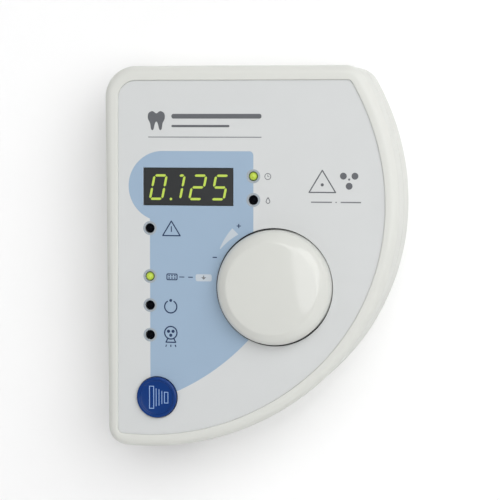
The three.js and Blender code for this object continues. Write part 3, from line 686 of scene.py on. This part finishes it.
SEGMENTS = {
    "top": ((0, 2), (1, 2)), "upper_right": ((1, 1), (1, 2)), "lower_right": ((1, 0), (1, 1)),
    "bottom": ((0, 0), (1, 0)), "lower_left": ((0, 0), (0, 1)), "upper_left": ((0, 1), (0, 2)),
    "middle": ((0, 1), (1, 1)),
}
SHOWN = {
    "0": ("top", "upper_right", "lower_right", "bottom", "lower_left", "upper_left"),
    "1": ("upper_right", "lower_right"),
    "2": ("top", "upper_right", "middle", "lower_left", "bottom"),
    "5": ("top", "upper_left", "middle", "lower_right", "bottom"),
}
MIDDLE_Z, HALF_HEIGHT, DIGIT_WIDTH, SLANT = 40.66, 6.72, 7.15, 0.206


def slanted(bar):
    return [(x + SLANT * (z - MIDDLE_Z), z) for x, z in bar]


digit_shapes = []
for character, right in (("0", -50.3), ("1", -39.65), ("2", -27.0), ("5", -14.05)):
    for which in SHOWN[character]:
        start, end = [(right - DIGIT_WIDTH * (1 - x), MIDDLE_Z + HALF_HEIGHT * (z - 1))
                      for x, z in SEGMENTS[which]]
        digit_shapes.append(slanted(segment(*start, *end)))
digit_shapes.append(slanted(segment(-43.1, 47.38, -39.65, 47.38)))
digit_shapes.append(disc((-46.46, 33.85), 0.75, 24))
WINDOW_FACE = FILM + 0.2
sheet("display_digits", digit_shapes, [], WINDOW_FACE - 0.03, WINDOW_FACE + 0.05, DIGIT,
      slot="lamp_lit")

# ---------------------------------------------------------------- lamps

for led, centre in LEDS.items():
    dome = quarter(0, -47.9, 2.5, -90, 0, 10)
    profile = [(0, -50.4), *dome[1:], (2.5, -42.2), (2.9, -42.2), (2.9, -41.2), (0, -41.2)]
    lens = turned("lamp_" + led, profile, centre, LENS_LIT if led in LIT else LENS_DARK, 40,
                  slot="lamp_lit" if led in LIT else "lamp_dark")
    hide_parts("led_" + led)

# ---------------------------------------------------------------- knob


def bezier(p0, p1, p2, p3, steps):
    out = []
    for i in range(steps + 1):
        t = i / steps
        out.append(tuple(
            ((1 - t) ** 3 * a + 3 * t * (1 - t) ** 2 * b + 3 * t * t * (1 - t) * c + t ** 3 * d)
            for a, b, c, d in zip(p0, p1, p2, p3)))
    return out


def knob():
    top, apex, face = -61.8, -62.7, 26.2
    dome = [(face * i / 12, apex + (top - apex) * (i / 12) ** 2) for i in range(12)]
    edge = bezier((25.2, -61.87), (26.1, -61.8), (26.5, -61.62), (27.1, -61.24), 6)
    shoulder = bezier((27.1, -61.24), (29.8, -59.6), (KNOB_R - 0.2, -58.0), (KNOB_R - 0.2, -53.4), 14)
    skirt = [(KNOB_R, -43.0), (KNOB_R - 0.4, -42.6), (30.2, -42.6), (29.9, -43)]
    hollow = [(29.9, -55), (28.7, -57.9), (25.9, -59), (7.5, -59), (7.5, -47.2), (5.2, -47.2),
              (5.2, -57.3), (0, -57.3)]
    profile = [*dome, *edge, *shoulder[1:], *skirt, *hollow]
    piece = turned("knob_cap", profile, KNOB, KNOB_SKIN, 160, body="knob", crease=30, slot="knob")
    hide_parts("control_knob")


knob()
# A dark rubber-coloured ring round the knob, just under the film: painted shade of the gap round the
# knob. The film's hole is off centre, so more of it shows on the left and below as the knob's painted
# contact shadow.
painted_shade_ring = [(33.2, -48.29), (34.8, -48.29), (34.8, -48.21), (33.6, -48.21), (33.6, -41.2),
        (33.2, -41.2)]
turned("knob_painted_shade_ring", [*painted_shade_ring, painted_shade_ring[0]], KNOB, RUBBER_AND_PAINTED_SHADE, 160, slot="rubber")

# ---------------------------------------------------------------- exposure button

DISH_EDGE, DISH_STEP, DISH_DEPTH, BUTTON_FACE = 9.5, 0.75, 1.1, -51.2


def dish(r):
    """Depth of the button's face at a radius inside its rim."""
    return BUTTON_FACE + DISH_DEPTH - (DISH_DEPTH - DISH_STEP) * (r / DISH_EDGE) ** 2


def exposure_button():
    bowl = [(DISH_EDGE * i / 12, dish(DISH_EDGE * i / 12)) for i in range(13)]
    low = dish(DISH_EDGE)
    step = bezier((DISH_EDGE, low), (9.95, low), (9.8, BUTTON_FACE), (10.4, BUTTON_FACE), 8)
    edge = quarter(BUTTON_R - 0.7, BUTTON_FACE + 0.7, 0.7, -90, 0, 6)
    flange = [(BUTTON_R, -45.7), (13.2, -45.7), (13.2, -44.2), (10.2, -44.2)]
    stem = [(10.2, -48.2), (2.6, -48.2), (2.6, -39.9), (0, -39.9)]
    profile = [*bowl, *step[1:], *edge, *flange, *stem]
    piece = turned("button_cap", profile, BUTTON, BUTTON_SKIN, 112, body="exposure_button",
                   slot="button")
    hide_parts("exposure_button")

    x, z = BUTTON
    shapes, holes, frame_width = [], [], 0.42
    for left, right, half in ((-4.5, -1.6, 6.65), (4.4, 6.9, 3.35)):
        shapes.append(dense(rectangle(x + left, z - half, x + right, z + half)))
        holes.append(dense(rectangle(x + left + frame_width, z - half + frame_width,
                                     x + right - frame_width, z + half - frame_width)))
    for place, half in ((-0.35, 5.2), (1.35, 4.75), (3.05, 3.8)):
        shapes.append(dense(rectangle(x + place - 0.2, z - half, x + place + 0.2, z + half)))
    sheet("button_sign", shapes, holes, lambda u, v: dish(math.hypot(u - x, v - z)) - 0.03,
          lambda u, v: dish(math.hypot(u - x, v - z)) + 0.05, INK_BUTTON,
          body="exposure_button", slot="button")


def dense(loop, step=0.8):
    """The same loop with its long edges divided."""
    out = []
    for a, b in zip(loop, loop[1:] + loop[:1]):
        parts = max(1, round((Vector(b) - Vector(a)).length / step))
        out += [tuple(Vector(a).lerp(Vector(b), i / parts)) for i in range(parts)]
    return out


exposure_button()

# ---------------------------------------------------------------- CAD nodes that stay

SLOT_OF = {row["node"]: row["material_slot"] for row in frame["record"]["subparts"]}
BEVELS = {
    "mains_switch_body": 0.35, "mains_rocker": 0.4, "display_window": 0.15, "relay": 0.3,
    "terminal_block": 0.2,
}
for node, piece in frame["nodes"].items():
    if piece.hide_render:
        continue
    piece.data.materials.clear()
    piece.data.materials.append(SLOT_LOOKS[SLOT_OF[node]])
    if node in BEVELS:
        bevel = piece.modifiers.new("bevel", "BEVEL")
        bevel.width = BEVELS[node] * MM
        bevel.segments = 3
        bevel.limit_method = "ANGLE"
        bevel.angle_limit = math.radians(30)

# ---------------------------------------------------------------- rocker marks

ROCKER_PIVOT_Z, ROCKER_FACE, ROCKER_SLOPE = -106.8, -4.0, 1.4 / 7.6
ROCKER_TILT = math.radians(8)  # at rest


def rocker_mark(name, inner, outer):
    """A raised mark on the rocker's faces between two loops in the rocker's own X and Y."""
    points = []
    for lift, loop in ((0.06, inner), (0.06, outer), (-0.05, outer), (-0.05, inner)):
        for u, v in loop:
            z = ROCKER_FACE - abs(u) * ROCKER_SLOPE - lift
            across = u * math.cos(ROCKER_TILT) + z * math.sin(ROCKER_TILT)
            down = -u * math.sin(ROCKER_TILT) + z * math.cos(ROCKER_TILT)
            points.append((SWITCH[0] + across, SWITCH[1] + v, ROCKER_PIVOT_Z + down))
    count, faces = len(inner), []
    for a in range(4):
        for i in range(count):
            j, b = (i + 1) % count, (a + 1) % 4
            faces.append((a * count + j, b * count + j, b * count + i, a * count + i))
    make(name, points, faces, WHITE_MARK, body="mains_rocker",
         origin=(SWITCH[0], ROCKER_PIVOT_Z))


rocker_mark("off_mark", disc((-4.6, 0), 1.15, 40), disc((-4.6, 0), 1.6, 40))
rocker_mark("on_mark", rectangle(4.62, -1.5, 4.64, 1.5), rectangle(4.4, -1.7, 4.86, 1.7))

# ---------------------------------------------------------------- stage and light


def stage_plane(name, corners, look_):
    mesh = bpy.data.meshes.new(name)
    mesh.from_pydata([Vector(c) for c in corners], [], [(0, 1, 2, 3)])
    mesh.materials.append(look_)
    plane = bpy.data.objects.new(name, mesh)
    bpy.context.scene.collection.objects.link(plane)


def wall_paint():
    """Pale paint on the wall's front.

    Its back is clear and it casts no shadow, so the unit can be seen and lit from behind.
    """
    made, nodes, links, shader = new_material("wall_paint")
    shader.inputs["Base Color"].default_value = (0.9, 0.9, 0.9, 1)
    shader.inputs["Roughness"].default_value = 0.9
    shader.inputs["Specular IOR Level"].default_value = 0.1
    clear = nodes.new("ShaderNodeBsdfTransparent")
    side, ray = nodes.new("ShaderNodeNewGeometry"), nodes.new("ShaderNodeLightPath")
    either = nodes.new("ShaderNodeMath")
    either.operation = "MAXIMUM"
    mix = nodes.new("ShaderNodeMixShader")
    links.new(side.outputs["Backfacing"], either.inputs[0])
    links.new(ray.outputs["Is Shadow Ray"], either.inputs[1])
    links.new(either.outputs["Value"], mix.inputs["Fac"])
    links.new(shader.outputs["BSDF"], mix.inputs[1])
    links.new(clear.outputs["BSDF"], mix.inputs[2])
    links.new(mix.outputs["Shader"], nodes["Material Output"].inputs["Surface"])
    return made


HALF, WALL_Y, WALL_TOP = 2.5, 0.0004, 2  # metres, as are the next three
FLOOR_Z, FLOOR_FRONT, FLOOR_BACK = -1.3, -3, 1.5
stage_plane(
    "wall",
    [(-HALF, WALL_Y, FLOOR_Z), (HALF, WALL_Y, FLOOR_Z),
     (HALF, WALL_Y, WALL_TOP), (-HALF, WALL_Y, WALL_TOP)],
    wall_paint(),
)
stage_plane(
    "floor",
    [(-HALF, FLOOR_FRONT, FLOOR_Z), (HALF, FLOOR_FRONT, FLOOR_Z),
     (HALF, FLOOR_BACK, FLOOR_Z), (-HALF, FLOOR_BACK, FLOOR_Z)],
    finish("floor_paint", (235, 235, 235), 0.8, grain=2.0, relief=0.05, mottle=0.01, drift=300),
)


def soft_light(name, azimuth, elevation, distance, width, height, power, glossy=True):
    """A rectangular light in metres and watts. One that isn't glossy leaves no reflection."""
    data = bpy.data.lights.new(name, "AREA")
    data.shape = "RECTANGLE"
    data.size, data.size_y = width, height
    data.energy = power
    lamp = bpy.data.objects.new(name, data)
    out = look(azimuth, elevation)
    lamp.location = Vector((0.0, -0.03, 0.0)) + out * distance
    lamp.rotation_mode = "QUATERNION"
    lamp.rotation_quaternion = (-out).to_track_quat("-Z", "Y")
    lamp.visible_camera = False
    lamp.visible_glossy = glossy
    bpy.context.scene.collection.objects.link(lamp)


soft_light("key", 23, 18, 1.8, 2.1, 2.0, 30.5)
soft_light("side", 60, 30, 1.8, 1.9, 1.9, 8, glossy=False)
soft_light("fill", -55, 5, 2.0, 1.2, 1.4, 4)
soft_light("rear", 180, 0, 2.4, 0.4, 0.4, 22, glossy=False)

WORLD_LOW, WORLD_HIGH = 0.19, 0.42  # light from straight below and from straight above
world = bpy.data.worlds.new("world")
world.use_nodes = True
sky = world.node_tree.nodes
sky["Background"].inputs["Color"].default_value = (1, 1, 1, 1)
direction, height = sky.new("ShaderNodeTexCoord"), sky.new("ShaderNodeSeparateXYZ")
level = sky.new("ShaderNodeMapRange")
level.inputs["From Min"].default_value = -1
level.inputs["To Min"].default_value = WORLD_LOW
level.inputs["To Max"].default_value = WORLD_HIGH
world.node_tree.links.new(direction.outputs["Generated"], height.inputs["Vector"])
world.node_tree.links.new(height.outputs["Z"], level.inputs["Value"])
world.node_tree.links.new(level.outputs["Result"], sky["Background"].inputs["Strength"])
bpy.context.scene.world = world
bpy.context.scene.view_settings.view_transform = "Standard"

bpy.context.view_layer.update()
